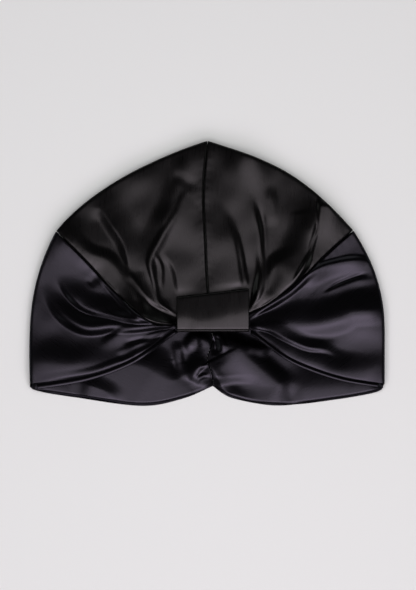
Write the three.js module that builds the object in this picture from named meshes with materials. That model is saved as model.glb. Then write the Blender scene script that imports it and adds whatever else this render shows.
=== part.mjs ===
// A satin bonnet with a gathered front, lying flat on its back: millimetres, +Z up.
// +Y points to the peak of the crown, +X to the right as it is seen from above, and the origin
// is under the middle of its box, on the surface that it lies on.
// Two crown halves and two side panels are walls of cloth that fold round the outline from front to back.
// At the front they run into a loop of the same satin, and at the nape they are gathered to a seam.
import * as THREE from "three";

// Cloth
const WALL = 1.6;
const LINING_WALL = 1.2;
const LOOP_WALL = 1.8;
const SEAM_GAP = 0.5;
const LAYER_GAP = 0.3;

// Heights of the soft form
const EDGE_HEIGHT = 6;
const FRONT_RISE = 27;
const HEM_FALL = 0.36;
const HEM_FALL_FULL = 0.6;
const PINCH = 10;
const PINCH_REACH = 15;
const FOLDS_FULL_FROM_LOOP = 12;
const SEAM_DIP = 1.3;
const SEAM_DIP_REACH = 4;
const SEAM_DIP_FADE = 8;
const BACK_FLATNESS = 34;
const FOLD_SWELL = 0.7;

// The loop: a strip over the gathers, round the front hem and up behind it
const LOOP = { left: -28, right: 39, topLeft: -22.5, topRight: -14.5, bottom: -52 };
const LOOP_CROWN = 32;
const LOOP_FRONT = 25.5;
const LOOP_BACK = 19.6;
const LOOP_TURN = 2.2;
const LOOP_BACK_END = -26;

// How far the lining shows under the front hem, how far it stays from the loop, and where it ends
const LINING_SHOWS = { atLoop: 4, atCorner: 6 };
const LINING_CLEAR = 1.5;
const LINING_END = 0.97;

// Mesh steps
const PANEL_STEPS = 22;
const FRONT_STEPS = 13;
const FRONT_EASE = 1.4;
const TURN_STEPS = 3;
const TURN_END = THREE.MathUtils.degToRad(80);
const BACK_STEPS = 9;
const BACK_EASE = 1.6;
const LINING_TUCK_COLUMNS = 2;
const LOOP_STEPS = 8;
const LOOP_ARC_STEPS = 10;
const LOOP_TURN_STEPS = 4;
const FOLD_STEPS = 14;

const { lerp, smoothstep, clamp } = THREE.MathUtils;
const UP = new THREE.Vector3(0, 0, 1);
const at = ([x, y]) => new THREE.Vector2(x, y);
const spline = (...points) => new THREE.SplineCurve(points.map(at));
const bend = (...points) => new THREE.CubicBezierCurve(...points.map(at));
const sum = (list, value) => list.reduce((total, item) => total + value(item), 0);

// Plan of the outline, whose corners are where the diagonal seams and the hems cross it
const PEAK = [0.5, 122.1];
const CORNER = { left: [-139, 38.6], right: [134.9, 39.4] };
const HEM_CORNER = { left: [-163.3, -102.5], right: [163.8, -102.5] };
const RIM = {
  crown_left: bend(PEAK, [-48.8, 106.4], [-107.4, 78.1], CORNER.left),
  crown_right: bend(PEAK, [68, 100.2], [85.4, 92.8], CORNER.right),
  side_left: bend(CORNER.left, [-166.2, -12.3], [-164.2, -48.4], HEM_CORNER.left),
  side_right: bend(CORNER.right, [170.3, -14.3], [162.8, -47], HEM_CORNER.right),
};

// Plan of the front seams and hems, from under the loop out to the outline
const FRONT = {
  centre: spline([3, -29], [0, -10], [-2, 36], [-3.3, 78], PEAK),
  seam_left: spline([-19, -45.5], [-50, -45.5], [-82, -20.5], [-115, 14.5], CORNER.left),
  seam_right: spline([31, -40], [58, -27.5], [86, -6], [113, 20], CORNER.right),
  hem_left: spline([-17, -49.5], [-30, -52], [-68, -78.5], [-112, -95], HEM_CORNER.left),
  hem_right: spline([28, -49.5], [41, -52.5], [78, -78.5], [122, -95], HEM_CORNER.right),
};

// Plan of the back: the same seams run to the gathered nape, and the hem hangs in two lobes.
const NAPE_TOP = [5, -38];
const NAPE = [5, -54];
const NOTCH = [5.5, -105];
const BACK = {
  centre: spline(NAPE_TOP, [3, 40], PEAK),
  seam_left: spline(NAPE, [-50, -43], [-100, -6], CORNER.left),
  seam_right: spline(NAPE, [60, -40], [102, 3], CORNER.right),
  hem_left: spline(NOTCH, [-22, -116.3], [-60, -123.1], [-118, -115.8], [-159.5, -109], HEM_CORNER.left),
  hem_right: spline(NOTCH, [24, -116], [66, -122.9], [120, -117.4], [158.5, -110], HEM_CORNER.right),
};

// Folds: each is a ridge over a quadratic curve of the plan, which swells from its start and dies out.
const FRONT_FOLDS = [
  // Left half of the crown
  { from: [-30, -40], by: [-76, 15], to: [-16, 92], rise: 5, wide: [3, 12] },
  { from: [-36, -42], by: [-78, -10], to: [-100, 55], rise: 5, wide: [3, 13] },
  { from: [-40, -40], by: [-88, -8], to: [-128, 36], rise: 3.2, wide: [2.5, 8] },
  // Right half of the crown
  { from: [39, -33], by: [46, 15], to: [6, 55], rise: 4, wide: [3, 9] },
  { from: [42, -30], by: [58, 25], to: [45, 93], rise: 4.5, wide: [3, 13] },
  { from: [44, -36], by: [80, 0], to: [98, 55], rise: 4.5, wide: [3, 12] },
  { from: [48, -34], by: [82, -10], to: [120, 31], rise: 3, wide: [2.5, 8] },
  // Left side
  { from: [-32, -46], by: [-80, -37], to: [-108, 0], rise: 3, wide: [2, 7] },
  { from: [-32, -47], by: [-118, -48], to: [-146, 12], rise: 5.5, wide: [2, 12] },
  { from: [-32, -49], by: [-128, -60], to: [-147, -12], rise: 4, wide: [2, 10] },
  { from: [-32, -50], by: [-75, -67], to: [-140, -72], rise: 5, wide: [3, 14] },
  // Right side
  { from: [42, -43], by: [80, -12], to: [152, 3], rise: 5.5, wide: [2.5, 12] },
  { from: [42, -47], by: [95, -48], to: [155, -38], rise: 5, wide: [3, 15] },
  { from: [42, -50], by: [80, -60], to: [130, -78], rise: 4.5, wide: [2.5, 11] },
];
const NAPE_FOLDS = [
  // The two lobes
  { from: [0, -72], by: [-40, -92], to: [-120, -107], rise: 5.5, wide: [6, 12] },
  { from: [-6, -60], by: [-32, -76], to: [-24, -112], rise: 2.8, wide: [4, 9] },
  { from: [8, -70], by: [32, -92], to: [90, -112], rise: 6, wide: [6, 12] },
  { from: [14, -60], by: [50, -84], to: [125, -104], rise: 4, wide: [5, 11] },
  // Gathers across the nape's seam
  { from: [32, -60], by: [4, -66], to: [-30, -58], rise: 4.5, wide: [3.5, 4] },
  { from: [30, -78], by: [4, -78], to: [-34, -72], rise: 2.5, wide: [3.5, 4] },
  { from: [24, -96], by: [4, -92], to: [-28, -98], rise: 4, wide: [3.5, 4] },
];
const NAPE_FOLDS_FROM = -40;
const NAPE_FOLDS_FULL = -60;

const bell = (distance, width) => Math.exp(-((distance / width) ** 2));

function foldLift({ from, by, to, rise, wide }, point) {
  const ridge = new THREE.QuadraticBezierCurve(at(from), at(by), at(to));
  let nearest = Infinity;
  let along = 0;
  for (let step = 0; step <= FOLD_STEPS; step++) {
    const distance = ridge.getPoint(step / FOLD_STEPS).distanceTo(point);
    if (distance < nearest) {
      nearest = distance;
      along = step / FOLD_STEPS;
    }
  }
  const swell = Math.sin(Math.PI * along ** FOLD_SWELL);
  return rise * swell * bell(nearest, lerp(...wide, along));
}

const loopTop = (x) => lerp(LOOP.topLeft, LOOP.topRight, (x - LOOP.left) / (LOOP.right - LOOP.left));

// Distance from the loop in plan, 0 under it
function loopDistance({ x, y }) {
  const aside = Math.max(LOOP.left - x, x - LOOP.right, 0);
  const beyond = Math.max(y - loopTop(x), LOOP.bottom - y, 0);
  return Math.hypot(aside, beyond);
}

// A patch of the plan between two side curves that run out to the rim, at u across and t outward
function patch(sideA, sideB, rim) {
  const [farA, farB] = [sideA.getPoint(1), sideB.getPoint(1)];
  return (u, t) => {
    const between = sideA.getPointAt(t).lerp(sideB.getPointAt(t), u);
    const rimBulge = rim.getPointAt(u).sub(farA.clone().lerp(farB, u));
    return between.addScaledVector(rimBulge, t);
  };
}

// Rows of a panel: from the loop over the front, round the outline and along the back to the nape
function panelRows() {
  const rows = [];
  for (let step = 0; step <= FRONT_STEPS; step++) {
    rows.push({ front: true, t: Math.sin((step / FRONT_STEPS) * (Math.PI / 2)) ** FRONT_EASE });
  }
  for (let step = 1; step <= TURN_STEPS; step++) {
    rows.push({ front: false, t: Math.cos((step / TURN_STEPS) * TURN_END) ** (2 / BACK_FLATNESS) });
  }
  const flatFrom = rows.at(-1).t;
  for (let step = 1; step <= BACK_STEPS; step++) {
    rows.push({ front: false, t: flatFrom * (1 - step / BACK_STEPS) ** BACK_EASE });
  }
  return rows;
}

// A closed wall round a grid of middle points, with half its thickness to each side along the normals
function wallGeometry(middle, normals, thickness, hand) {
  const columns = middle.length;
  const rows = middle[0].length;
  const positions = [];
  for (const side of [0.5, -0.5]) {
    middle.forEach((column, i) => {
      column.forEach((point, j) => {
        positions.push(...point.clone().addScaledVector(normals[i][j], side * thickness));
      });
    });
  }
  const index = [];
  const quad = (a, b, c, d) => (hand > 0 ? index.push(a, b, c, a, c, d) : index.push(a, c, b, a, d, c));
  const outer = (i, j) => i * rows + j;
  const inner = (i, j) => columns * rows + i * rows + j;
  const [lastI, lastJ] = [columns - 1, rows - 1];
  for (let i = 0; i < lastI; i++) {
    for (let j = 0; j < lastJ; j++) {
      quad(outer(i, j), outer(i, j + 1), outer(i + 1, j + 1), outer(i + 1, j));
      quad(inner(i, j), inner(i + 1, j), inner(i + 1, j + 1), inner(i, j + 1));
    }
    quad(outer(i, 0), outer(i + 1, 0), inner(i + 1, 0), inner(i, 0));
    quad(outer(i, lastJ), inner(i, lastJ), inner(i + 1, lastJ), outer(i + 1, lastJ));
  }
  for (let j = 0; j < lastJ; j++) {
    quad(outer(0, j), inner(0, j), inner(0, j + 1), outer(0, j + 1));
    quad(outer(lastI, j), outer(lastI, j + 1), inner(lastI, j + 1), inner(lastI, j));
  }
  const geometry = new THREE.BufferGeometry();
  geometry.setAttribute("position", new THREE.Float32BufferAttribute(positions, 3));
  geometry.setIndex(index);
  geometry.computeVertexNormals();
  return geometry;
}

// Normals of a grid of points; hand is 1 where the rows and the columns turn left about them
function gridNormals(grid, hand) {
  const pick = (list, k) => list[clamp(k, 0, list.length - 1)];
  return grid.map((column, i) =>
    column.map((_, j) => {
      const down = pick(column, j + 1).clone().sub(pick(column, j - 1));
      const across = pick(grid, i + 1)[j].clone().sub(pick(grid, i - 1)[j]);
      return down.cross(across).multiplyScalar(hand).normalize();
    }),
  );
}

// Normals along a seam, in the upright plane that it runs in, so both panels share them
function seamNormals(line, rows) {
  const pick = (k) => line[clamp(k, 0, line.length - 1)];
  return line.map((_, j) => {
    const along = pick(j + 1).clone().sub(pick(j - 1));
    const outward = rows[j].front
      ? pick(Math.max(j, 1)).clone().sub(pick(Math.max(j, 1) - 1))
      : pick(Math.min(j, line.length - 2)).clone().sub(pick(Math.min(j, line.length - 2) + 1));
    return along.cross(UP.clone().cross(outward)).normalize();
  });
}

// Height of the smooth form, before its folds
function baseHeight(row, u, point, hemFall) {
  if (!row.front) {
    return EDGE_HEIGHT - (EDGE_HEIGHT - WALL / 2) * Math.sqrt(1 - row.t ** BACK_FLATNESS);
  }
  const fall = hemFall * u * u * smoothstep(row.t, 0, HEM_FALL_FULL);
  const dome = FRONT_RISE * (1 - fall) * Math.sqrt(1 - row.t ** 2);
  return EDGE_HEIGHT + dome - PINCH * bell(loopDistance(point), PINCH_REACH);
}

// One panel: a strip of cloth between two seams, or a seam and a hem, folded round the outline
function panel(name, [edgeA, edgeB], hand, material) {
  const hemmed = edgeB.startsWith("hem");
  const front = patch(FRONT[edgeA], FRONT[edgeB], RIM[name]);
  const back = patch(BACK[edgeA], BACK[edgeB], RIM[name]);
  const rows = panelRows();
  const columns = Array.from({ length: PANEL_STEPS + 1 }, (_, i) => i / PANEL_STEPS);
  const plan = columns.map((u) => rows.map((row) => (row.front ? front(u, row.t) : back(u, row.t))));
  const base = plan.map((column, i) =>
    column.map((point, j) => {
      const height = baseHeight(rows[j], columns[i], point, hemmed ? HEM_FALL : 0);
      return new THREE.Vector3(point.x, point.y, height);
    }),
  );
  const normals = gridNormals(base, hand);
  normals[0] = seamNormals(base[0], rows);
  if (!hemmed) normals[PANEL_STEPS] = seamNormals(base[PANEL_STEPS], rows);

  const seams = hemmed ? [0] : [0, PANEL_STEPS];
  const middle = base.map((column, i) =>
    column.map((point, j) => {
      const here = plan[i][j];
      if (!rows[j].front) {
        const shown = smoothstep(-here.y, -NAPE_FOLDS_FROM, -NAPE_FOLDS_FULL);
        const folds = sum(NAPE_FOLDS, (fold) => foldLift(fold, here));
        return point.clone().addScaledVector(UP, shown * folds);
      }
      const clear = smoothstep(loopDistance(here), 0, FOLDS_FULL_FROM_LOOP);
      const folds = clear * sum(FRONT_FOLDS, (fold) => foldLift(fold, here));
      const dips = sum(seams, (k) => SEAM_DIP * bell(here.distanceTo(plan[k][j]), SEAM_DIP_REACH));
      return point.clone().addScaledVector(normals[i][j], folds - dips * (1 - rows[j].t ** SEAM_DIP_FADE));
    }),
  );

  // Each edge is drawn in by half the gap.
  const drawIn = (edge, inside) => edge.add(inside.clone().sub(edge).setLength(SEAM_GAP / 2));
  rows.forEach((_, j) => {
    drawIn(middle[0][j], middle[1][j]);
    drawIn(middle[PANEL_STEPS][j], middle[PANEL_STEPS - 1][j]);
  });
  middle.forEach((column) => drawIn(column.at(-1), column.at(-2)));

  const mesh = new THREE.Mesh(wallGeometry(middle, normals, WALL, hand), material);
  mesh.name = name;
  return { mesh, middle, normals, rows };
}

// The loop: its section runs down over the front, round the hem and up behind, at each step across
function frontLoop(material) {
  const across = Array.from({ length: LOOP_STEPS + 1 }, (_, i) => i / LOOP_STEPS);
  const middle = across.map((share) => {
    const x = lerp(LOOP.left, LOOP.right, share);
    const half = (loopTop(x) - LOOP.bottom) / 2;
    const section = [];
    for (let step = 0; step <= LOOP_ARC_STEPS; step++) {
      const angle = (step / LOOP_ARC_STEPS) * Math.PI;
      const height = lerp(LOOP_FRONT, LOOP_CROWN, Math.sin(angle));
      section.push(new THREE.Vector3(x, LOOP.bottom + half * (1 + Math.cos(angle)), height));
    }
    const turnMiddle = (LOOP_FRONT + LOOP_BACK) / 2;
    for (let step = 1; step <= LOOP_TURN_STEPS; step++) {
      const angle = (step / LOOP_TURN_STEPS) * Math.PI;
      const height = turnMiddle + (LOOP_FRONT - turnMiddle) * Math.cos(angle);
      section.push(new THREE.Vector3(x, LOOP.bottom - LOOP_TURN * Math.sin(angle), height));
    }
    section.push(new THREE.Vector3(x, LOOP_BACK_END, LOOP_BACK));
    return section;
  });
  const mesh = new THREE.Mesh(wallGeometry(middle, gridNormals(middle, 1), LOOP_WALL, 1), material);
  mesh.name = "front_loop";
  return mesh;
}

// The lining's edge: a narrow strip under the panel's last columns that shows below its hem
function liningEdge(name, { middle, normals, rows }, hand, material) {
  const drop = WALL / 2 + LAYER_GAP + LINING_WALL / 2;
  const under = (i, j) => middle[i][j].clone().addScaledVector(normals[i][j], -drop);
  const sections = [];
  rows.forEach((row, j) => {
    const hem = middle[PANEL_STEPS][j];
    if (!row.front || row.t > LINING_END || loopDistance(hem) < LINING_CLEAR) return;
    const section = [];
    for (let i = PANEL_STEPS - LINING_TUCK_COLUMNS; i <= PANEL_STEPS; i++) section.push(under(i, j));
    const outward = hem.clone().sub(middle[PANEL_STEPS - 1][j]);
    const shows = lerp(LINING_SHOWS.atLoop, LINING_SHOWS.atCorner, row.t);
    section.push(section.at(-1).clone().add(outward.setLength(shows)));
    sections.push(section);
  });
  const geometry = wallGeometry(sections, gridNormals(sections, hand), LINING_WALL, hand);
  const mesh = new THREE.Mesh(geometry, material);
  mesh.name = name;
  return mesh;
}

const satin = (color, roughness) => new THREE.MeshStandardMaterial({ color, roughness, metalness: 0 });
const crownLeft = panel("crown_left", ["centre", "seam_left"], 1, satin(0x1a191b, 0.35));
const crownRight = panel("crown_right", ["centre", "seam_right"], -1, satin(0x1a191b, 0.35));
const sideLeft = panel("side_left", ["seam_left", "hem_left"], 1, satin(0x1b1821, 0.35));
const sideRight = panel("side_right", ["seam_right", "hem_right"], -1, satin(0x1b1821, 0.35));

const bonnet = new THREE.Group();
bonnet.add(
  crownLeft.mesh,
  crownRight.mesh,
  sideLeft.mesh,
  sideRight.mesh,
  frontLoop(satin(0x1b191e, 0.32)),
  liningEdge("lining_edge_left", sideLeft, -1, satin(0x1c1a20, 0.4)),
  liningEdge("lining_edge_right", sideRight, 1, satin(0x1c1a20, 0.4)),
);

export default bonnet;
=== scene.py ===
"""The looks of a black satin bonnet with a gathered front, lying flat on its back.

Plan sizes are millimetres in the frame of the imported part: +X right, +Y to the peak of the crown, +Z up.
"""

import math
from collections import namedtuple

import bpy
import numpy as np
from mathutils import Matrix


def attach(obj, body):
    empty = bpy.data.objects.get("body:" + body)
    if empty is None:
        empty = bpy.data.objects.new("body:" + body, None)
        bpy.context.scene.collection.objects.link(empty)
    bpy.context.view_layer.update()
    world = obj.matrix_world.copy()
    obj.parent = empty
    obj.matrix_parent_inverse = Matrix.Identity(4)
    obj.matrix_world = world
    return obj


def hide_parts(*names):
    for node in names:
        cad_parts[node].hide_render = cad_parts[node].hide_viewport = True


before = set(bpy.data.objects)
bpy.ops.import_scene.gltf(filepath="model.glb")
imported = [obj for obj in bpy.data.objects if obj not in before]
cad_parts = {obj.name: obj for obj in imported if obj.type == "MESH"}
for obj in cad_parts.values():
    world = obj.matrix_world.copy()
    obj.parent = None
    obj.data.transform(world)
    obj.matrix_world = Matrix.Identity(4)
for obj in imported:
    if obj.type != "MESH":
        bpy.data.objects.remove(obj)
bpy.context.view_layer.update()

bl_info = {
    "name": "Satin Bonnet",
    "version": (1, 0, 0),
    "blender": (4, 5, 0),
    "location": "3D View > Sidebar > Bonnet",
    "description": "Builds the satin panels, loop and lining edges of a gathered bonnet",
    "category": "Mesh",
}

MM = 0.001

# Plan of the outline
PEAK = (0.5, 122.1)
CORNER_LEFT = (-139, 38.6)
CORNER_RIGHT = (134.9, 39.4)
HEM_CORNER_LEFT = (-163.3, -102.5)
HEM_CORNER_RIGHT = (163.8, -102.5)
NAPE_TOP = (5, -38)
NAPE = (5, -54)
NOTCH = (5.5, -105)

# The loop in plan, and the heights of its front's crest and of its back
LOOP_LEFT, LOOP_RIGHT = -28, 39
LOOP_TOP_LEFT, LOOP_TOP_RIGHT = -22.5, -14.5
LOOP_BOTTOM = -52
LOOP_CROWN, LOOP_BACK = 26.4, 13.4
LOOP_TURN = 1.4
LOOP_BACK_END = -26
# Place of the crest as a share of the way up the loop's front, and how steeply it falls below and above it
LOOP_CREST = 0.34
LOOP_CREST_SOFTNESS = 0.14
LOOP_LOW_FALL, LOOP_TOP_FALL = 5.0, 3.2
# Places along the loop at which the crest sways, and by what share of the way up
LOOP_SWAYS = [(-22, 0.03), (-6, -0.09), (8, -0.06), (20, 0.05), (36, 0.10)]
LOOP_SWAY_REACH = 9
# Drop of the front at its two edges, and the ripple that grows towards the lower one
LOOP_EDGE = 2.4
LOOP_EDGE_FLATNESS = 40
LOOP_RIPPLE = 0.10
LOOP_RIPPLE_LENGTH = 14
# Steps along the loop, down its front, round its turn and up its back
LOOP_STEPS = 80
LOOP_ARC_STEPS = 64
LOOP_TURN_STEPS = 12
LOOP_BACK_STEPS = 16

# How far the lining shows at the loop and at the corner, and the share of the panel's width over its tuck
LINING_SHOWS = {"left": (4, 6), "right": (4.5, 4)}
LINING_TUCK = 0.09
# Distance from the loop at which the lining starts, and share of the way out at which it ends
LINING_CLEAR = 1.5
LINING_END = 0.97
# Swell of the part that shows
LINING_LIFT = 0.7
LINING_LIFT_POWER = 1.6
# Steps across the tuck and across the part that shows, and those at the hem that give its heading
LINING_STEPS = 14
LINING_HEADING_STEPS = 2
LEVEL = np.array([1, 1, 0])
UPWARD = np.array([0, 0, 1])

# Steps of the curves and of the panels' meshes, and how their rows ease and crowd
CURVE_STEPS = 64
FOLD_CURVE_STEPS = 8
PANEL_STEPS = 180
EDGE_CROWDING = 0.5
FRONT_STEPS = 130
FRONT_EASE = 1.4
TURN_STEPS = 8
TURN_END = math.radians(80)
CROWN_BACK_STEPS = 30
SIDE_BACK_STEPS = 90
BACK_EASE = 1.6

# Powers of a panel's section: its turn to the flat back, its square shoulder and its dome
BACK_FLATNESS = 14
SHOULDER_FLATNESS = 240
DOME_POWER = 2

# Rounding of a wall's edge as a share of half its thickness, and the share left at the very edge
EDGE_ROUNDING = 0.8
EDGE_LEAST = 0.12
SMALLEST_LENGTH = 1e-9
# Steps from an edge that give the way in which it is drawn in, and the reach of that pull
DRAW_STEPS = 12
DRAW_REACH = 2

Panel = namedtuple("Panel", "edge_a edge_b hand back_steps")
PANELS = {
    "crown_left": Panel("centre", "seam_left", 1, CROWN_BACK_STEPS),
    "crown_right": Panel("centre", "seam_right", -1, CROWN_BACK_STEPS),
    "side_left": Panel("seam_left", "hem_left", 1, SIDE_BACK_STEPS),
    "side_right": Panel("seam_right", "hem_right", -1, SIDE_BACK_STEPS),
}

# A fold is a ridge along a curve of the plan, or a crease where its rise is below zero:
# rise is the height of its crest,
# left and right are the widths of its flanks on either hand of the path,
# path holds the points that the crest runs through,
# start is the share of the rise at the first point, where a fold that starts above 0 is narrower too,
# end is the share of the path over which the fold dies out,
# grow is the share of the path over which it opens from its start,
# round is 2 for a rounded crest and less for a sharper one,
# flat is the half width of a level strip along the crest.
FOLD_DEFAULTS = (0.35, 0.35, 0.3, 2, 0)
Fold = namedtuple("Fold", "rise left right path start end grow round flat", defaults=FOLD_DEFAULTS)

LONG_FOLD_PATH = [
    (-29, -38.5), (-37, -33), (-44, -28), (-47.5, -20), (-49.5, -8), (-52, 3), (-53, 11),
    (-50, 20), (-44.5, 30), (-33.5, 50), (-23, 69.5),
]
CROWN_LEFT_FOLDS = [
    Fold(2.6, 20, 26, LONG_FOLD_PATH + [(-14, 77), (-7, 82)], 0.3, 0.3, 0.6, 0.6),
    Fold(1.6, 4, 8, LONG_FOLD_PATH + [(-12, 79)], 0.3, 0.5, 0.6, 0.8),
    Fold(1.0, 14, 7, [(-46, 36), (-40, 50), (-35, 61), (-32, 73), (-28, 88)], 0),
    Fold(-0.5, 8, 8, [(-33, 93), (-20, 86), (-8, 78)], 0),
    Fold(-0.6, 3, 3, [(-42, 36), (-36, 48), (-30, 58), (-24, 70)], 0),
    Fold(1.4, 6, 24, [(-25, -24), (-27, -8), (-29, 2), (-33, 10), (-42, 22)], 0, 0.35, 0.3, 1),
    Fold(0.8, 3, 3, [(-43.5, -16), (-42.6, -5), (-42.6, 5), (-45, 12), (-50, 19)], 0),
    Fold(
        2.8, 10, 22,
        [(-42, -31), (-54, -23), (-66.5, -7), (-71.5, -1), (-72.5, 10), (-75, 21), (-79, 31),
         (-89, 46), (-94, 54), (-99, 60), (-112, 62)],
        0.35, 0.3, 0.7, 0.7,
    ),
    Fold(
        2.3, 18, 11,
        [(-29, -43.5), (-40, -41.5), (-50, -38.5), (-60, -34), (-66, -23), (-72.5, -11), (-81, 0),
         (-87.5, 8), (-94, 13), (-104, 16), (-113, 21), (-134, 42)],
    ),
]
CROWN_RIGHT_FOLDS = [
    Fold(
        2.4, 36, 9,
        [(37, -30), (31, -12), (28, 4), (26, 18), (23, 32), (18, 46), (10, 58), (2, 66)],
        0, 0.5, 0.3, 1.6,
    ),
    Fold(0.7, 3, 3, [(40, -28), (37, -10), (34, 5), (32, 18), (29, 32), (24, 46)], 0, 0.5),
    Fold(
        2.4, 20, 7,
        [(40.6, -32), (43, -26.5), (46.5, -18), (50.5, 2), (50.5, 14), (49.5, 27), (47.5, 40),
         (43, 56), (39.5, 70), (36, 82)],
        0.2, 0.35, 0.75, 1,
    ),
    Fold(
        1.6, 4, 5,
        [(40.6, -32), (43, -26.5), (46.5, -18), (49.5, -5), (50.5, 8), (49.5, 26)],
        0.5, 0.6, 0.3, 2, 1.2,
    ),
    Fold(0.8, 9, 9, [(60, 42), (60, 56), (59, 68), (55, 82)], 0),
    Fold(-0.8, 5, 5, [(51.8, 5), (52.4, 20), (52.4, 33), (51.8, 45), (49.3, 57), (45, 70)], 0),
    Fold(3.0, 12, 22, [(41, -38), (49, -21), (58, -3), (66, 9), (77, 14), (88, 14)]),
    Fold(
        4.4, 26, 7,
        [(62, -23), (72, -13), (78, -7), (84, 0), (89, 9), (92, 21), (95, 32), (97.5, 42), (99, 51),
         (99, 60), (94, 72)],
    ),
    Fold(
        0.9, 2.5, 10,
        [(41, -38), (51, -31), (64, -23.5), (78, -11), (84, -2.5), (88, 6), (93, 20)],
    ),
    Fold(2.8, 4, 34, [(80, -8), (90, 6), (96, 18), (101, 33), (104.5, 45), (105, 70)], 0, 0.1),
]
SIDE_LEFT_FOLDS = [
    Fold(
        1.2, 4, 3,
        [(-29, -46.8), (-38, -46), (-50, -43.8), (-60, -40.6), (-68.8, -35.5), (-78.7, -26.5),
         (-88.6, -14.5), (-98.6, -3.5), (-106, 5)],
    ),
    Fold(-1.0, 7, 7, [(-98, -3), (-104, -5), (-111, -12)], 0),
    Fold(
        3.6, 6, 18,
        [(-29, -46.5), (-45, -44.5), (-59, -42.5), (-66, -41.8), (-78.7, -39.8), (-91, -37),
         (-103.5, -34.5), (-114, -30.5), (-121.5, -24.5), (-128, -17), (-133, -8), (-136, 0)],
        0.35, 0.25,
    ),
    Fold(
        5.0, 9, 15,
        [(-29, -47.8), (-60, -47.5), (-88, -48), (-98.6, -49.5), (-108.5, -50.3), (-116.5, -48.5),
         (-125, -44), (-132.5, -38), (-139, -30), (-144, -21), (-149, -8)],
    ),
    Fold(
        2.6, 14, 6,
        [(-29, -48.8), (-46, -49.5), (-59, -51.5), (-71, -52.7), (-78.7, -54), (-84.5, -57.5),
         (-90, -61.5), (-99, -72)],
    ),
    Fold(-1.0, 4, 4, [(-36, -56.5), (-55, -60.5), (-78, -64)], 0),
    Fold(1.2, 6, 5, [(-33, -52), (-48, -58), (-62.6, -64), (-76, -71)]),
    Fold(-1.0, 7, 7, [(-66, -75), (-75, -76.5), (-84, -79)], 0),
    Fold(
        0.9, 3, 6,
        [(-29, -49.5), (-38, -55.5), (-49, -65.2), (-68, -76.3), (-90, -85.6), (-112, -92.5),
         (-163, -100)],
    ),
]
SIDE_RIGHT_FOLDS = [
    Fold(
        1.8, 3, 5,
        [(40.5, -41.4), (51, -34), (63.4, -26), (75.8, -18), (85.7, -9.5), (94.4, -1), (106, 5)],
    ),
    Fold(
        3.0, 5, 15,
        [(76, -19), (85.7, -9.5), (94.4, -1), (106.8, 6), (119, 9.5), (131.6, 12), (144, 12),
         (152, 8), (160, 0)],
        0,
    ),
    Fold(
        -1.2, 2.5, 2.5,
        [(107, -17), (113, -14), (120.4, -9.5), (129, -5.8), (141.5, -1.5), (152, 1)],
        0,
    ),
    Fold(1.0, 3, 9, [(107, -20), (116, -15), (129, -10), (141, -6), (157, -5)], 0),
    Fold(
        4.0, 24, 17,
        [(41, -48), (51, -46.5), (69.6, -46), (88, -46.5), (106.8, -45.5), (121.7, -41),
         (131.6, -35), (141.5, -33), (154, -33), (200, -34)],
    ),
    Fold(
        2.4, 13, 5,
        [(42, -49.5), (52, -51), (61, -53), (72, -58.5), (84.5, -64.5), (94.4, -68), (104.3, -69),
         (111.8, -70.5), (119, -74), (125.4, -74)],
    ),
    Fold(
        4.4, 24, 14,
        [(42, -50), (51, -57), (63.4, -65), (78, -76), (100, -84.5), (122, -92.5), (163, -100)],
    ),
]
FRONT_FOLDS = CROWN_LEFT_FOLDS + CROWN_RIGHT_FOLDS + SIDE_LEFT_FOLDS + SIDE_RIGHT_FOLDS
NAPE_FOLDS = [
    # Swelling under the gathers
    Fold(4.0, 50, 22, [(2, -52), (1, -70), (2, -88), (3, -106)], 0.3, 0.2),
    # Left lobe
    Fold(
        5.0, 140, 27,
        [(-8, -88), (-21, -95), (-30, -100), (-40, -98), (-50, -92), (-60, -87), (-75, -85),
         (-90, -88), (-105, -97), (-130, -104), (-160, -108)],
        0.3, 0.1, 0.3, 1.8,
    ),
    Fold(1.6, 6, 9, [(-26, -62), (-26.5, -73), (-25, -82.5), (-19, -93)], 0),
    Fold(
        2.2, 13, 40,
        [(-120, -102), (-107, -105), (-96, -109), (-88, -115), (-82, -123)],
        0, 0.3, 0.3, 1,
    ),
    # Right lobe
    Fold(
        4.4, 18, 28,
        [(14, -54), (27, -67), (39, -80), (51, -91), (64, -102), (80, -115)],
        0.2, 0.2,
    ),
    Fold(
        2.4, 26, 9,
        [(-1, -74), (2.6, -80), (6, -89), (12.5, -102), (21, -115), (34, -132)],
        0, 0.5, 0.3, 1,
    ),
    Fold(2.2, 18, 12, [(12, -111), (24, -117), (45, -121), (66, -123), (84, -121)], 0, 0.15, 0.2),
    Fold(1.8, 8, 9, [(36, -66), (48, -70), (60, -74)], 0),
    Fold(3.0, 30, 34, [(70, -112), (88, -110), (110, -108), (140, -107), (190, -108)], 0, 0.2, 0.2),
    # Gathers of the nape
    Fold(2.0, 7, 9, [(-18, -76), (-17, -66), (-10.5, -59), (-3.5, -61.5), (1, -69)], 0),
    Fold(2.4, 15, 5, [(-14, -102), (-11, -92), (-6, -86), (2, -83)], 0),
    Fold(0.9, 3, 3.5, [(-9.5, -104), (-8, -98), (-3.3, -95), (4, -94.5)], 0),
    Fold(1.5, 5, 6, [(4, -59), (7, -57), (10, -58), (13, -62), (15, -68), (14, -76)], 0),
    Fold(-2.0, 6, 6, [(7, -58), (7.5, -67), (8, -77)], 0),
]
FOLD_SOFTENING = 2
# Width of a narrow fold's start, as a share of its full width
FOLD_NARROW_WIDTH = 0.4
# Share of the folds' height that is left under the loop, and the distance at which all of it is back
FOLDS_UNDER_LOOP = 0.25
FOLDS_FULL_FROM_LOOP = 9

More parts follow.
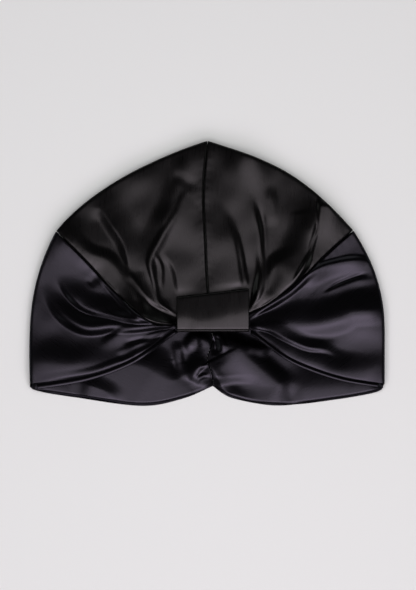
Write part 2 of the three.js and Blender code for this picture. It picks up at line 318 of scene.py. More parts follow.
# A mound is a soft swelling of the front, or a hollow where its rise is below zero
Mound = namedtuple("Mound", "rise x y reach_x reach_y")
FRONT_MOUNDS = [
    Mound(6.5, 39, 112, 22, 38),
    Mound(2.2, -70, 90, 20, 26),
    Mound(5.0, 114, 72, 26, 34),
    Mound(1.5, -112, 68, 18, 18),
    Mound(4.6, -134, 28, 28, 28),
    Mound(4.3, -130, -85, 42, 17),
    Mound(6.0, -60, -75, 24, 22),
    Mound(4.0, 144, -46, 28, 20),
    Mound(1.5, 6, -22, 22, 14),
    Mound(2.6, -16, 106, 14, 22),
    Mound(2.6, -63, -26, 10, 24),
    Mound(3.0, 152, -90, 18, 18),
    Mound(-0.8, -26, 110, 8, 8),
    Mound(-0.35, -102, 49, 6, 6),
]

# Distances below the middle of the plan between which the nape's folds set in, and their edge's width
NAPE_FOLDS_FROM, NAPE_FOLDS_FULL = 40, 58
NAPE_EDGE = 4
# Sideways bow of the line where the two lobes meet, its shares of that line, and how soon it dies out
NAPE_BOW = -5
NAPE_BOW_MIDDLE = 0.5
NAPE_BOW_SHARE = 0.2
NAPE_BOW_POWER = 6
# How much further the pinch reaches above the loop, and how late the front falls to its hem
PINCH_STRETCH = 1.4
HEM_FALL_POWER = 5

# Slack waves of the whole cloth: height, length, heading in degrees and phase of each
Wave = namedtuple("Wave", "rise length heading phase")
SLACK_WAVES = [
    Wave(0.25, 61, 20, 0.4),
    Wave(0.14, 37, 75, 1.9),
    Wave(0.06, 23, 130, 4.1),
]
# Small puckers along the seams
PUCKER_RISE = 0.03
PUCKER_LENGTH = 7.5
PUCKER_REACH = 6

# Satin: brightness of the gloss between its streaks and on them, pitch of its threads, sizes of its
# creases, and what each of them adds to the bump
DARK_GLOSS, LIT_GLOSS = 0.038, 0.050
THREAD_PITCH = 0.25
THREAD_WAVER = 0.6
THREAD_DETAIL = 1.0
THREAD_HEIGHT = 0.02
STREAK_SCALE = (1.1, 0.06, 1.0)
STREAK_DETAIL = 4.0
STREAK_ROUGHNESS = 0.12
STREAK_HEIGHT = 0.12
CREASE_DETAIL = 3.0
CREASE_WAVER = 0.8
CROWN_CREASE, SIDE_CREASE, LOOP_CREASE = 9, 8, 10
BUMP_STRENGTH = 0.05
BUMP_DISTANCE = 0.001
# Places of the sockets on a node that mixes two colours
MIX_SHARE, MIX_FIRST, MIX_SECOND, MIX_RESULT = 0, 6, 7, 2

# Floor and lights, with their sizes in metres
FLOOR_REACH = 4
FLOOR_ROUGHNESS = 0.9
FLOOR_SPECULAR = 0.1
WALL_SIZE = (2.4, 0.7)
WALL_TINT = (0.92, 1.0, 0.94)
Light = namedtuple("Light", "name place size tint")
KEY_LIGHT = Light("key softbox", (0.1, -0.80, 1.58), (1.5, 1.73), (1.0, 0.95, 0.97))
CORE_LIGHT = Light("key core", (0.1, -0.80, 1.38), (1.0, 0.5), (1.0, 0.87, 1.02))
WALL_LIGHTS = [
    Light("left wall", (-1.8, -0.1, 0.45), WALL_SIZE, WALL_TINT),
    Light("right wall", (1.8, 0.2, 0.45), WALL_SIZE, WALL_TINT),
    Light("far wall", (0, 1.9, 0.45), WALL_SIZE, WALL_TINT),
]
TOP_LIGHT = Light("top light", (0, 0, 2.2), (1.2, 1.2), (1, 1, 1))
LIGHT_AIM = (0, 0, 0)

# View of the camera in millimetres: its centre, the height that it takes in at the view plane, the height
# of that plane over the floor and the camera's distance from it
VIEW_CENTRE = (0.93, -20)
VIEW_HEIGHT = 548.7
VIEW_PLANE = 8
CAMERA_DISTANCE = 2500


def lerp(a, b, share):
    return a + (b - a) * share


def smoothstep(value, low, high):
    share = np.clip((value - low) / (high - low), 0, 1)
    return share * share * (3 - 2 * share)


def bell(distance, width):
    return np.exp(-((distance / width) ** 2))


def flank(distance, width, roundness):
    """Height of a fold's flank, from 1 at its crest to 0 at its foot; 2 rounds the crest, 0 sharpens it."""
    share = np.minimum(distance / width, 1)
    return (1 - share) ** 2 * (1 + roundness * share)


class Line:
    """A curve of the plan that is read by the share of its length."""

    def __init__(self, points):
        self.points = points
        steps = np.hypot(*np.diff(points, axis=0).T)
        self.shares = np.concatenate([[0], np.cumsum(steps)]) / steps.sum()

    def at(self, share):
        return np.stack([np.interp(share, self.shares, self.points[:, k]) for k in (0, 1)], axis=-1)


def spline(points, steps=CURVE_STEPS):
    """A smooth curve through the points, with its end points repeated."""
    knots = np.array([points[0], *points, points[-1]], float)
    share = np.linspace(0, 1, steps, endpoint=False)[:, None]
    spans = []
    for before, start, stop, after in zip(knots, knots[1:], knots[2:], knots[3:]):
        slope_a, slope_b = (stop - before) / 2, (after - start) / 2
        cubic = 2 * start - 2 * stop + slope_a + slope_b
        square = -3 * start + 3 * stop - 2 * slope_a - slope_b
        spans.append(((cubic * share + square) * share + slope_a) * share + start)
    return Line(np.concatenate([*spans, knots[-1:]]))


def bend(start, lead, trail, stop):
    """A cubic curve from start to stop that sets out to lead and comes in from trail."""
    share = np.linspace(0, 1, CURVE_STEPS * 2)[:, None]
    rest = 1 - share
    weights = (rest**3, 3 * rest**2 * share, 3 * rest * share**2, share**3)
    points = (start, lead, trail, stop)
    return Line(sum(weight * np.array(point) for weight, point in zip(weights, points)))


# Curves of the plan: each panel's stretch of the outline, and the panels' edges on the front and the back
RIM = {
    "crown_left": bend(PEAK, (-48.8, 106.4), (-107.4, 78.1), CORNER_LEFT),
    "crown_right": bend(PEAK, (68, 100.2), (85.4, 92.8), CORNER_RIGHT),
    "side_left": bend(CORNER_LEFT, (-166.2, -12.3), (-164.2, -48.4), HEM_CORNER_LEFT),
    "side_right": bend(CORNER_RIGHT, (170.3, -14.3), (162.8, -47), HEM_CORNER_RIGHT),
}
FRONT = {
    "centre": spline([(3, -29), (0, -10), (-2, 36), (-3.3, 78), PEAK]),
    "seam_left": spline([(-19, -45.5), (-50, -45.5), (-82, -20.5), (-115, 14.5), CORNER_LEFT]),
    "seam_right": spline([(31, -40), (58, -27.5), (86, -6), (113, 20), CORNER_RIGHT]),
    "hem_left": spline([(-17, -49.5), (-30, -52), (-68, -78.5), (-112, -95), HEM_CORNER_LEFT]),
    "hem_right": spline([(28, -49.5), (41, -52.5), (78, -78.5), (122, -95), HEM_CORNER_RIGHT]),
}
BACK = {
    "centre": spline([NAPE_TOP, (3, 40), PEAK]),
    "seam_left": spline([NAPE, (-50, -43), (-100, -6), CORNER_LEFT]),
    "seam_right": spline([NAPE, (60, -40), (102, 3), CORNER_RIGHT]),
    "hem_left": spline(
        [NOTCH, (-22, -116.3), (-60, -123.1), (-118, -115.8), (-159.5, -109), HEM_CORNER_LEFT]
    ),
    "hem_right": spline(
        [NOTCH, (24, -116), (66, -122.9), (120, -117.4), (158.5, -110), HEM_CORNER_RIGHT]
    ),
}


def patch(side_a, side_b, rim, u, t):
    """Plan points between two side curves that run out to the rim, at u across and t outward."""
    across = u[:, None, None]
    between = lerp(side_a.at(t)[None], side_b.at(t)[None], across)
    straight = lerp(side_a.points[-1], side_b.points[-1], u[:, None])
    bulge = rim.at(u) - straight
    return between + bulge[:, None] * t[None, :, None]


def loop_top(x):
    return lerp(LOOP_TOP_LEFT, LOOP_TOP_RIGHT, (x - LOOP_LEFT) / (LOOP_RIGHT - LOOP_LEFT))


def loop_distance(plan, stretch=1.0):
    """Distance from the loop in plan, 0 under it, counted as less by the stretch above the loop."""
    x, y = plan[..., 0], plan[..., 1]
    aside = np.maximum(np.maximum(LOOP_LEFT - x, x - LOOP_RIGHT), 0)
    beyond = np.maximum(np.maximum((y - loop_top(x)) / stretch, LOOP_BOTTOM - y), 0)
    return np.hypot(aside, beyond)


def fold_height(fold, plan):
    """Height of one fold over points of the plan."""
    line = spline(fold.path, FOLD_CURVE_STEPS)
    reach = max(fold.left, fold.right) + fold.flat
    low, high = line.points.min(axis=0) - reach, line.points.max(axis=0) + reach
    near = np.all((plan >= low) & (plan <= high), axis=-1)
    spot = plan[near]
    nearest = np.full(len(spot), np.inf)
    along = np.zeros_like(nearest)
    side = np.zeros_like(nearest)
    for k, (start, stop) in enumerate(zip(line.points, line.points[1:])):
        step = stop - start
        offset = spot - start
        share = np.clip(offset @ step / (step @ step), 0, 1)
        gap = offset - share[..., None] * step
        distance = np.hypot(gap[..., 0], gap[..., 1])
        nearer = distance < nearest
        nearest = np.where(nearer, distance, nearest)
        along = np.where(nearer, lerp(line.shares[k], line.shares[k + 1], share), along)
        side = np.where(nearer, step[0] * offset[..., 1] - step[1] * offset[..., 0], side)
    opening = smoothstep(along, 0, fold.grow)
    dying = 1 - smoothstep(along, 1 - fold.end, 1)
    narrow = lerp(FOLD_NARROW_WIDTH, 1, opening) if fold.start else 1
    width = np.where(side > 0, fold.left, fold.right) * narrow
    crest = fold.rise * lerp(fold.start, 1, opening) * dying
    beyond = np.maximum(nearest - fold.flat * narrow, 0)
    height = np.zeros(plan.shape[:-1])
    height[near] = crest * flank(beyond, width, fold.round)
    return height


def mound_height(mound, plan):
    """Height of one mound over points of the plan."""
    across = bell(plan[..., 0] - mound.x, mound.reach_x)
    along = bell(plan[..., 1] - mound.y, mound.reach_y)
    return mound.rise * across * along


def soften(grid, times):
    """A grid of heights, each of them drawn towards its neighbours a number of times."""
    for _ in range(times):
        for axis in (0, 1):
            padded = np.pad(grid, [(1, 1) if k == axis else (0, 0) for k in (0, 1)], mode="edge")
            after = np.split(padded, [2], axis=axis)[1]
            before = np.split(padded, [-2], axis=axis)[0]
            grid = (before + 2 * grid + after) / 4
    return grid


def slack(plan):
    """Slow waves of the slack cloth."""
    total = np.zeros(plan.shape[:-1])
    for wave in SLACK_WAVES:
        heading = math.radians(wave.heading)
        run = plan @ np.array([math.cos(heading), math.sin(heading)])
        total += wave.rise * np.sin(2 * math.pi * run / wave.length + wave.phase)
    return total


def grid_normals(grid, hand):
    """Normals of a grid of points; hand is 1 where the rows and the columns turn left about them."""
    normals = np.cross(np.gradient(grid, axis=1), np.gradient(grid, axis=0)) * hand
    return normals / np.maximum(np.linalg.norm(normals, axis=-1, keepdims=True), SMALLEST_LENGTH)


def front_rows():
    """Outward shares of a panel's rows over the front."""
    return np.sin(np.linspace(0, math.pi / 2, FRONT_STEPS + 1)) ** FRONT_EASE


def panel_rows(back_steps):
    """Outward shares of a panel's rows over the front, round the outline and along the back."""
    turn = np.cos(np.linspace(0, TURN_END, TURN_STEPS + 1)[1:]) ** (2 / BACK_FLATNESS)
    back = turn[-1] * np.linspace(1, 0, back_steps + 1)[1:] ** BACK_EASE
    return np.concatenate([front_rows(), turn, back])


def crowded_steps(count):
    """Even steps from 0 to 1 that crowd towards both ends."""
    even = np.linspace(0, 1, count + 1)
    return lerp(even, 0.5 - 0.5 * np.cos(math.pi * even), EDGE_CROWDING)


def front_height(plan, u, t, hemmed, form):
    """Height of the smooth front, before its folds."""
    fall = form.hem_fall * hemmed * u[:, None] ** HEM_FALL_POWER * smoothstep(t, 0, form.hem_fall_full)
    shoulder = form.shoulder / MM * np.sqrt(np.maximum(1 - t**SHOULDER_FLATNESS, 0))
    rise = form.front_rise / MM * (1 - fall) * (1 - t**DOME_POWER)
    pinch = form.pinch / MM * bell(loop_distance(plan, PINCH_STRETCH), form.pinch_reach / MM)
    return form.edge_height / MM + shoulder + rise - pinch


def front_lift(plan, t, seams, form):
    """Height that the folds, the mounds, the slack cloth and the seams add to the front."""
    clear = lerp(FOLDS_UNDER_LOOP, 1, smoothstep(loop_distance(plan), 0, FOLDS_FULL_FROM_LOOP))
    folds = soften(sum(fold_height(fold, plan) for fold in FRONT_FOLDS), FOLD_SOFTENING)
    lift = clear * folds + slack(plan)
    lift += sum(mound_height(mound, plan) for mound in FRONT_MOUNDS)
    for seam in seams:
        line = FRONT[seam].at(t)[None]
        gap = np.linalg.norm(plan - line, axis=-1)
        run = np.cumsum(np.linalg.norm(np.diff(line, axis=1, prepend=line[:, :1]), axis=-1), axis=1)
        lift -= form.seam_dip / MM * bell(gap, form.seam_dip_reach / MM)
        lift += PUCKER_RISE * np.sin(2 * math.pi * run / PUCKER_LENGTH) * bell(gap, PUCKER_REACH)
    return lift


def panel_surface(name, u, t, form):
    """Middle of a panel's cloth as a grid of points, at u across and t along its rows."""
    panel = PANELS[name]
    hemmed = panel.edge_b.startswith("hem")
    seams = [panel.edge_a] if hemmed else [panel.edge_a, panel.edge_b]
    out, home = t[: FRONT_STEPS + 1], t[FRONT_STEPS + 1 :]
    front = patch(FRONT[panel.edge_a], FRONT[panel.edge_b], RIM[name], u, out)
    back = patch(BACK[panel.edge_a], BACK[panel.edge_b], RIM[name], u, home)

    front_z = front_height(front, u, out, hemmed, form) + front_lift(front, out, seams, form)
    rim_z, floor_z = front_z[:, -1:], form.wall / MM / 2
    back_z = rim_z - (rim_z - floor_z) * np.sqrt(np.maximum(1 - home**BACK_FLATNESS, 0))
    if hemmed and home.size:
        bow = NAPE_BOW * bell(u[:, None] - NAPE_BOW_MIDDLE, NAPE_BOW_SHARE)
        back[..., 0] += bow * (1 - home) ** NAPE_BOW_POWER
        shows = smoothstep(-back[..., 1], NAPE_FOLDS_FROM, NAPE_FOLDS_FULL)
        inward = np.linalg.norm(back - back[-1:], axis=-1)
        inside = np.sin(math.pi / 2 * np.minimum(inward / NAPE_EDGE, 1))
        folds = soften(sum(fold_height(fold, back) for fold in NAPE_FOLDS), FOLD_SOFTENING)
        back_z += shows * inside * folds
        back_z = np.maximum(back_z, floor_z)
    plan = np.concatenate([front, back], axis=1)
    return np.concatenate([plan, np.concatenate([front_z, back_z], axis=1)[..., None]], axis=-1)


def wall_faces(columns, rows):
    """Four-sided faces of a wall's outer and inner side and of its four edges."""
    outer = np.arange(columns * rows).reshape(columns, rows)
    inner = outer + columns * rows
    corners = [
        (outer[:-1, :-1], outer[:-1, 1:], outer[1:, 1:], outer[1:, :-1]),
        (inner[:-1, :-1], inner[1:, :-1], inner[1:, 1:], inner[:-1, 1:]),
        (outer[:-1, 0], outer[1:, 0], inner[1:, 0], inner[:-1, 0]),
        (outer[:-1, -1], inner[:-1, -1], inner[1:, -1], outer[1:, -1]),
        (outer[0, :-1], inner[0, :-1], inner[0, 1:], outer[0, 1:]),
        (outer[-1, :-1], outer[-1, 1:], inner[-1, 1:], inner[-1, :-1]),
    ]
    return np.concatenate([np.stack(four, axis=-1).reshape(-1, 4) for four in corners])


def wall_mesh(name, middle, thickness, hand):
    """A closed wall of cloth round a grid of middle points, with rounded edges all round."""
    normals = grid_normals(middle, hand)
    ends = (middle[:1], middle[-1:], middle[:, :1], middle[:, -1:])
    inward = np.min([np.linalg.norm(middle - end, axis=-1) for end in ends], axis=0)
    radius = thickness / 2
    depth = np.clip(inward / (radius * EDGE_ROUNDING), 0, 1)
    half = radius * np.maximum(np.sqrt(depth * (2 - depth)), EDGE_LEAST)
    offset = normals * half[..., None]
    points = np.concatenate([(middle + offset).reshape(-1, 3), (middle - offset).reshape(-1, 3)])
    faces = wall_faces(*middle.shape[:2])
    if hand < 0:
        faces = faces[:, ::-1]

    across = np.cumsum(np.linalg.norm(np.diff(middle, axis=0, prepend=middle[:1]), axis=-1), axis=0)
    along = np.cumsum(np.linalg.norm(np.diff(middle, axis=1, prepend=middle[:, :1]), axis=-1), axis=1)
    flat = np.stack([across, along], axis=-1).reshape(-1, 2)
    mesh = bpy.data.meshes.new(name)
    mesh.from_pydata((points * MM).tolist(), [], faces.tolist())
    layer = mesh.uv_layers.new(name="cloth_mm")
    layer.data.foreach_set("uv", np.concatenate([flat, flat])[faces.ravel()].ravel())
    mesh.shade_smooth()
    return mesh


def draw_in(middle, gap, end_gap):
    """Draws the edges of a grid in by half a gap, so that neighbours stay clear."""
    for edge, inside, room in (
        (middle[:1], middle[DRAW_STEPS : DRAW_STEPS + 1], gap),
        (middle[-1:], middle[-DRAW_STEPS - 1 : -DRAW_STEPS], gap),
        (middle[:, -1:], middle[:, -DRAW_STEPS - 1 : -DRAW_STEPS], end_gap),
    ):
        way = inside - edge
        way /= np.linalg.norm(way, axis=-1, keepdims=True)
        away = np.linalg.norm(middle - edge, axis=-1, keepdims=True)
        middle += way * room / 2 * np.clip(1 - away / DRAW_REACH, 0, 1)


def loop_surface():
    """Middle of the loop as a grid of points: its front from the top down, its turn and its back."""
    x = lerp(LOOP_LEFT, LOOP_RIGHT, crowded_steps(LOOP_STEPS))[:, None]
    up = crowded_steps(LOOP_ARC_STEPS)[None, ::-1]
    crest = LOOP_CREST + sum(shift * bell(x - place, LOOP_SWAY_REACH) for place, shift in LOOP_SWAYS)
    away = np.hypot(up - crest, LOOP_CREST_SOFTNESS) - LOOP_CREST_SOFTNESS
    fall = np.where(up < crest, LOOP_LOW_FALL, LOOP_TOP_FALL) * away
    edge = LOOP_EDGE * (1 - np.sqrt(1 - np.abs(2 * up - 1) ** LOOP_EDGE_FLATNESS))
    ripple = LOOP_RIPPLE * np.sin(2 * math.pi * x / LOOP_RIPPLE_LENGTH) * (1 - up)
    front_y = lerp(LOOP_BOTTOM, loop_top(x), up)
    front_z = LOOP_CROWN - fall - edge + ripple

    turn = np.linspace(0, math.pi, LOOP_TURN_STEPS + 1)[None, 1:]
    turn_middle = (front_z[:, -1:] + LOOP_BACK) / 2
    turn_z = turn_middle + (front_z[:, -1:] - turn_middle) * np.cos(turn)
    turn_y = np.broadcast_to(LOOP_BOTTOM - LOOP_TURN * np.sin(turn), turn_z.shape)

    back = np.linspace(LOOP_BOTTOM, LOOP_BACK_END, LOOP_BACK_STEPS + 1)[None, 1:]
    back_y = np.broadcast_to(back, (x.size, LOOP_BACK_STEPS))
    back_z = np.full(back_y.shape, LOOP_BACK)
    y = np.concatenate([front_y, turn_y, back_y], axis=1)
    z = np.concatenate([front_z, turn_z, back_z], axis=1)
    return np.stack(np.broadcast_arrays(x, y, z), axis=-1)


def lining_surface(name, form):
    """Middle of a lining edge as a grid of points, from its tuck under the panel out past the hem."""
    panel = PANELS[f"side_{name}"]
    u = np.linspace(1 - LINING_TUCK, 1, LINING_STEPS)
    t = front_rows()
    middle = panel_surface(f"side_{name}", u, t, form)
    drop = (form.wall / 2 + form.layer_gap + form.lining_wall / 2) / MM
    under = middle - drop * grid_normals(middle, panel.hand)
    outward = (middle[-1] - middle[-1 - LINING_HEADING_STEPS]) * LEVEL
    outward /= np.linalg.norm(outward, axis=-1, keepdims=True)
    shows = lerp(*LINING_SHOWS[name], t)[:, None]
    strip = []
    for share in np.linspace(0, 1, LINING_STEPS)[1:]:
        lift = LINING_LIFT * math.sin(math.pi * share**LINING_LIFT_POWER)
        strip.append(under[-1] + outward * shows * share + UPWARD * lift)
    keep = (t <= LINING_END) & (loop_distance(middle[-1, :, :2]) >= LINING_CLEAR)
    return np.concatenate([under, np.array(strip)])[:, keep]


class NodeTree:
    """Short calls that add nodes to a tree and link them."""

    def __init__(self, tree):
        self.tree = tree

    def add(self, kind, links=(), **values):
        """A new node, whose inputs are linked to sockets or set to plain values."""
        node = self.tree.nodes.new(kind)
        for key, value in values.items():
            setattr(node, key, value)
        for socket, source in dict(links).items():
            if hasattr(source, "is_linked"):
                self.tree.links.new(source, node.inputs[socket])
            else:
                node.inputs[socket].default_value = source
        return node

    def maths(self, operation, *terms):
        """The result of a maths node on sockets or plain values."""
        return self.add("ShaderNodeMath", dict(enumerate(terms)), operation=operation).outputs[0]


def satin_threads_group():
    """Fine threads, streaks along them and small creases of satin, shared by all four materials."""
    name = "satin threads"
    if name in bpy.data.node_groups:
        return bpy.data.node_groups[name]
    group = bpy.data.node_groups.new(name, "ShaderNodeTree")
    for label, kind in (
        ("Dark Gloss", "NodeSocketColor"),
        ("Lit Gloss", "NodeSocketColor"),
        ("Gloss Roughness", "NodeSocketFloat"),
        ("Thread Pitch", "NodeSocketFloat"),
        ("Crease Size", "NodeSocketFloat"),
    ):
        group.interface.new_socket(label, in_out="INPUT", socket_type=kind)
    for label, kind in (
        ("Colour", "NodeSocketColor"),
        ("Roughness", "NodeSocketFloat"),
        ("Height", "NodeSocketFloat"),
    ):
        group.interface.new_socket(label, in_out="OUTPUT", socket_type=kind)

    tree = NodeTree(group)
    given = tree.add("NodeGroupInput").outputs
    flat = tree.add("ShaderNodeTexCoord").outputs["UV"]
    thread_scale = tree.maths("DIVIDE", 1.0, given["Thread Pitch"])
    threads = tree.add(
        "ShaderNodeTexWave",
        {"Vector": flat, "Scale": thread_scale, "Distortion": THREAD_WAVER, "Detail": THREAD_DETAIL},
    )
    drawn = tree.add("ShaderNodeMapping", {"Vector": flat, "Scale": STREAK_SCALE})
    streaks = tree.add(
        "ShaderNodeTexNoise", {"Vector": drawn.outputs[0], "Scale": 1.0, "Detail": STREAK_DETAIL}
    ).outputs[0]
    crease_scale = tree.maths("DIVIDE", 1.0, given["Crease Size"])
    creases = tree.add(
        "ShaderNodeTexNoise",
        {"Vector": flat, "Scale": crease_scale, "Detail": CREASE_DETAIL, "Distortion": CREASE_WAVER},
    ).outputs[0]
    tint = tree.add(
        "ShaderNodeMix",
        {MIX_SHARE: streaks, MIX_FIRST: given["Dark Gloss"], MIX_SECOND: given["Lit Gloss"]},
        data_type="RGBA",
    ).outputs[MIX_RESULT]
    rough = tree.maths("MULTIPLY_ADD", streaks, STREAK_ROUGHNESS, given["Gloss Roughness"])
    fine = tree.maths("MULTIPLY", threads.outputs["Fac"], THREAD_HEIGHT)
    streaked = tree.maths("MULTIPLY_ADD", streaks, STREAK_HEIGHT, fine)
    height = tree.maths("ADD", creases, streaked)
    tree.add("NodeGroupOutput", {"Colour": tint, "Roughness": rough, "Height": height})
    return group


def satin_material(name, gloss_tint, roughness, crease_size):
    """Black satin: a dark soft gloss with the threads, streaks and creases of the cloth."""
    material = bpy.data.materials.new(name)
    material.use_nodes = True
    material.node_tree.nodes.clear()
    tree = NodeTree(material.node_tree)
    threads = tree.add("ShaderNodeGroup", node_tree=satin_threads_group())
    for socket, value in (
        ("Dark Gloss", (*(DARK_GLOSS * part for part in gloss_tint), 1)),
        ("Lit Gloss", (*(LIT_GLOSS * part for part in gloss_tint), 1)),
        ("Gloss Roughness", roughness),
        ("Thread Pitch", THREAD_PITCH),
        ("Crease Size", crease_size),
    ):
        threads.inputs[socket].default_value = value
    bump = tree.add(
        "ShaderNodeBump",
        {"Height": threads.outputs["Height"], "Strength": BUMP_STRENGTH, "Distance": BUMP_DISTANCE},
    )
    shader = tree.add(
        "ShaderNodeBsdfPrincipled",
        {
            "Base Color": threads.outputs["Colour"],
            "Roughness": threads.outputs["Roughness"],
            "Normal": bump.outputs[0],
            "Metallic": 1.0,
            "Specular Tint": (0, 0, 0, 1),
        },
    )
    tree.add("ShaderNodeOutputMaterial", {"Surface": shader.outputs[0]})
    return material


def length_property(name, description, default):
    """A size in metres that the panel shows with its unit."""
    return bpy.props.FloatProperty(
        name=name, description=description, default=default, unit="LENGTH", min=0
    )


def colour_property(name, description, default):
    """A linear colour that the panel shows as a swatch."""
    return bpy.props.FloatVectorProperty(
        name=name, description=description, default=default, subtype="COLOR", size=3, min=0
    )


def share_property(name, description, default):
    """A share from 0 to 1 that the panel shows as a slider."""
    return bpy.props.FloatProperty(
        name=name, description=description, default=default, subtype="FACTOR", min=0, max=1
    )


def power_property(name, description, default):
    """The power of a light in watts."""
    return bpy.props.FloatProperty(name=name, description=description, default=default, unit="POWER", min=0)


class BonnetForm(bpy.types.PropertyGroup):
    """Sizes of the cloth and of the soft form"""

    wall: length_property("Panel wall", "Thickness of the two layers of a panel", 0.0016)
    lining_wall: length_property("Lining wall", "Thickness of the lining's edge", 0.0012)
    loop_wall: length_property("Loop wall", "Thickness of the loop", 0.0018)
    seam_gap: length_property("Seam gap", "Gap between two panels in a seam", 0.00046)
    nape_gap: length_property("Nape gap", "Gap between the two lobes of the nape", 0.0002)
    layer_gap: length_property("Layer gap", "Gap between a panel and the lining under it", 0.0003)
    edge_height: length_property("Edge height", "Height of the outline over the floor", 0.0168)
    shoulder: length_property("Shoulder", "Rise of the front close to its outline", 0.0022)
    front_rise: length_property("Front rise", "Rise of the front from its shoulder to the loop", 0.001)
    hem_fall: share_property("Hem fall", "Share by which the front's rise falls to its hem", 0.12)
    hem_fall_full: share_property("Hem fall full", "Share of the way out at which the hem has fallen", 0.6)
    pinch: length_property("Pinch", "Depth to which the loop draws the front in", 0.003)
    pinch_reach: length_property("Pinch reach", "Distance from the loop that the pinch reaches", 0.034)
    seam_dip: length_property("Seam dip", "Depth of the groove along a seam", 0.0008)
    seam_dip_reach: length_property("Seam dip reach", "Half width of the groove along a seam", 0.0011)


class BonnetColours(bpy.types.PropertyGroup):
    """Colours and gloss of the satin"""

    crown_gloss: colour_property("Crown gloss", "Tint of the gloss on the crown", (1.0, 0.955, 0.985))
    side_gloss: colour_property("Side gloss", "Tint of the gloss on the sides", (0.95, 0.89, 1.09))
    loop_gloss: colour_property("Loop gloss", "Tint of the gloss on the loop", (1.0, 0.955, 0.985))
    roughness: share_property("Gloss roughness", "Least roughness of the satin's gloss", 0.23)


class BonnetStage(bpy.types.PropertyGroup):
    """Floor, lights and room"""

    floor_colour: colour_property("Floor", "Colour of the pale floor", (0.737, 0.735, 0.735))
    key_power: power_property("Key light", "Power of the broad softbox in front of the hem", 10.5)
    core_power: power_property("Key core", "Power of the brighter middle of the softbox", 3.0)
    wall_power: power_property("Wall lights", "Power of each of the three low wall lights", 2.5)
    top_power: power_property("Top light", "Power of the light overhead, which no gloss shows", 34)
    room_light: share_property("Room light", "Brightness of the room around", 0.025)


def add_piece(name, mesh, material, node):
    """Puts a finished piece into the scene in place of its plain solid."""
    piece = bpy.data.objects.new(name, mesh)
    mesh.materials.append(material)
    bpy.context.scene.collection.objects.link(piece)
    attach(piece, "root")
    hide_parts(node)
    return piece


def add_panel(name, material, form):
    """One satin panel, from under the loop over the front, round the outline to the nape."""
    panel = PANELS[name]
    middle = panel_surface(name, crowded_steps(PANEL_STEPS), panel_rows(panel.back_steps), form)
    draw_in(middle, form.seam_gap / MM, form.nape_gap / MM)
    mesh = wall_mesh(f"satin_{name}", middle, form.wall / MM, panel.hand)
    piece = add_piece(f"satin_{name}", mesh, material, name)


class BONNET_OT_crown(bpy.types.Operator):
    """Makes the two halves of the crown"""

    bl_idname = "bonnet.crown"
    bl_label = "Make crown halves"

    def execute(self, context):
        form = context.scene.bonnet_form
        colours = context.scene.bonnet_colours
        satin = satin_material("crown satin", colours.crown_gloss, colours.roughness, CROWN_CREASE)
        for name in ("crown_left", "crown_right"):
            add_panel(name, satin, form)
        return {"FINISHED"}


class BONNET_OT_sides(bpy.types.Operator):
    """Makes the two side panels with the front hem and the lobes of the nape"""

    bl_idname = "bonnet.sides"
    bl_label = "Make side panels"

    def execute(self, context):
        form = context.scene.bonnet_form
        colours = context.scene.bonnet_colours
        satin = satin_material("side satin", colours.side_gloss, colours.roughness, SIDE_CREASE)
        for name in ("side_left", "side_right"):
            add_panel(name, satin, form)
        return {"FINISHED"}


class BONNET_OT_loop(bpy.types.Operator):
    """Makes the loop of satin that gathers the front"""

    bl_idname = "bonnet.loop"
    bl_label = "Make front loop"

    def execute(self, context):
        form = context.scene.bonnet_form
        colours = context.scene.bonnet_colours
        satin = satin_material("loop satin", colours.loop_gloss, colours.roughness, LOOP_CREASE)
        mesh = wall_mesh("satin_front_loop", loop_surface(), form.loop_wall / MM, 1)
        piece = add_piece("satin_front_loop", mesh, satin, "front_loop")
        return {"FINISHED"}


class BONNET_OT_lining(bpy.types.Operator):
    """Makes the edges of the lining that show below the front hem"""

    bl_idname = "bonnet.lining"
    bl_label = "Make lining edges"

    def execute(self, context):
        form = context.scene.bonnet_form
        colours = context.scene.bonnet_colours
        satin = satin_material("lining satin", colours.side_gloss, colours.roughness, SIDE_CREASE)
        for name in ("left", "right"):
            hand = PANELS[f"side_{name}"].hand
            middle = lining_surface(name, form)
            mesh = wall_mesh(f"satin_lining_{name}", middle, form.lining_wall / MM, hand)
            piece = add_piece(f"satin_lining_{name}", mesh, satin, f"lining_edge_{name}")
        return {"FINISHED"}


def add_floor(tint):
    """A wide plain floor under the bonnet."""
    mesh = bpy.data.meshes.new("floor")
    corners = [
        (-FLOOR_REACH, -FLOOR_REACH, 0),
        (FLOOR_REACH, -FLOOR_REACH, 0),
        (FLOOR_REACH, FLOOR_REACH, 0),
        (-FLOOR_REACH, FLOOR_REACH, 0),
    ]
    mesh.from_pydata(corners, [], [(0, 1, 2, 3)])
    floor = bpy.data.objects.new("floor", mesh)
    bpy.context.scene.collection.objects.link(floor)
    paper = bpy.data.materials.new("pale floor")
    paper.use_nodes = True
    shader = paper.node_tree.nodes["Principled BSDF"]
    shader.inputs["Base Color"].default_value = (*tint, 1)
    shader.inputs["Roughness"].default_value = FLOOR_ROUGHNESS
    shader.inputs["Specular IOR Level"].default_value = FLOOR_SPECULAR
    mesh.materials.append(paper)


def add_light(light, power):
    """A soft rectangular light that points at the bonnet."""
    lamp_data = bpy.data.lights.new(light.name, "AREA")
    lamp_data.shape = "RECTANGLE"
    lamp_data.size, lamp_data.size_y = light.size
    lamp_data.energy = power
    lamp_data.color = light.tint
    lamp = bpy.data.objects.new(light.name, lamp_data)
    bpy.context.scene.collection.objects.link(lamp)
    lamp.location = light.place
    way = np.array(LIGHT_AIM, float) - np.array(light.place, float)
    lamp.rotation_euler = (
        math.atan2(math.hypot(way[0], way[1]), -way[2]),
        0,
        math.atan2(way[1], way[0]) - math.pi / 2,
    )
    return lamp


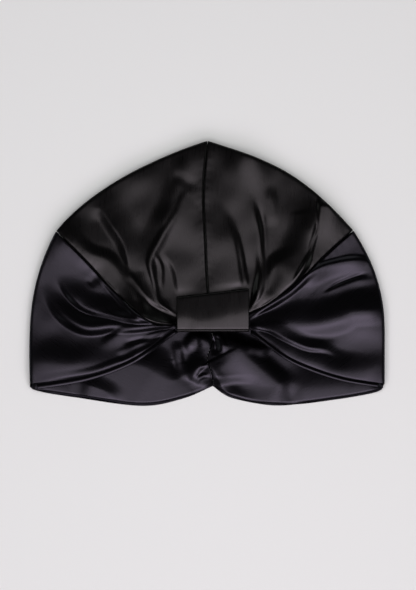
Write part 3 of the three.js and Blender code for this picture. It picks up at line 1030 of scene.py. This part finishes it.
def add_room(strength):
    """A plain white room around, which gives a little light from all sides."""
    world = bpy.data.worlds.new("room")
    world.use_nodes = True
    background = world.node_tree.nodes["Background"]
    background.inputs["Color"].default_value = (1, 1, 1, 1)
    background.inputs["Strength"].default_value = strength
    bpy.context.scene.world = world
    bpy.context.scene.view_settings.view_transform = "Standard"


def add_camera():
    """The camera, straight above the bonnet."""
    lens = bpy.data.cameras.new("camera")
    lens.sensor_fit = "AUTO"
    lens.lens = lens.sensor_width * CAMERA_DISTANCE / VIEW_HEIGHT
    camera = bpy.data.objects.new("camera", lens)
    bpy.context.scene.collection.objects.link(camera)
    camera.location = (VIEW_CENTRE[0] * MM, VIEW_CENTRE[1] * MM, (VIEW_PLANE + CAMERA_DISTANCE) * MM)
    bpy.context.scene.camera = camera


class BONNET_OT_stage(bpy.types.Operator):
    """Makes the pale floor, the soft lights, the room and the camera"""

    bl_idname = "bonnet.stage"
    bl_label = "Make stage"

    def execute(self, context):
        stage = context.scene.bonnet_stage
        add_floor(stage.floor_colour)
        add_light(KEY_LIGHT, stage.key_power)
        add_light(CORE_LIGHT, stage.core_power)
        for light in WALL_LIGHTS:
            add_light(light, stage.wall_power)
        overhead = add_light(TOP_LIGHT, stage.top_power)
        overhead.visible_glossy = False
        add_room(stage.room_light)
        add_camera()
        return {"FINISHED"}


OPERATORS = (BONNET_OT_crown, BONNET_OT_sides, BONNET_OT_loop, BONNET_OT_lining, BONNET_OT_stage)
GROUPS = {"bonnet_form": BonnetForm, "bonnet_colours": BonnetColours, "bonnet_stage": BonnetStage}


class BONNET_PT_panel(bpy.types.Panel):
    """Lists the sizes, the colours and the pieces"""

    bl_idname = "BONNET_PT_panel"
    bl_label = "Satin Bonnet"
    bl_space_type = "VIEW_3D"
    bl_region_type = "UI"
    bl_category = "Bonnet"

    def draw(self, context):
        for pointer, kind in GROUPS.items():
            group = getattr(context.scene, pointer)
            for name in kind.__annotations__:
                self.layout.prop(group, name)
        for operator in OPERATORS:
            self.layout.operator(operator.bl_idname)


def register():
    for item in (*GROUPS.values(), *OPERATORS, BONNET_PT_panel):
        bpy.utils.register_class(item)
    for name, group in GROUPS.items():
        setattr(bpy.types.Scene, name, bpy.props.PointerProperty(type=group))


def unregister():
    for name in GROUPS:
        delattr(bpy.types.Scene, name)
    for item in (BONNET_PT_panel, *reversed(OPERATORS), *reversed(list(GROUPS.values()))):
        bpy.utils.unregister_class(item)


def main():
    register()
    bpy.ops.bonnet.crown()
    bpy.ops.bonnet.sides()
    bpy.ops.bonnet.loop()
    bpy.ops.bonnet.lining()
    bpy.ops.bonnet.stage()


if __name__ == "__main__":
    main()
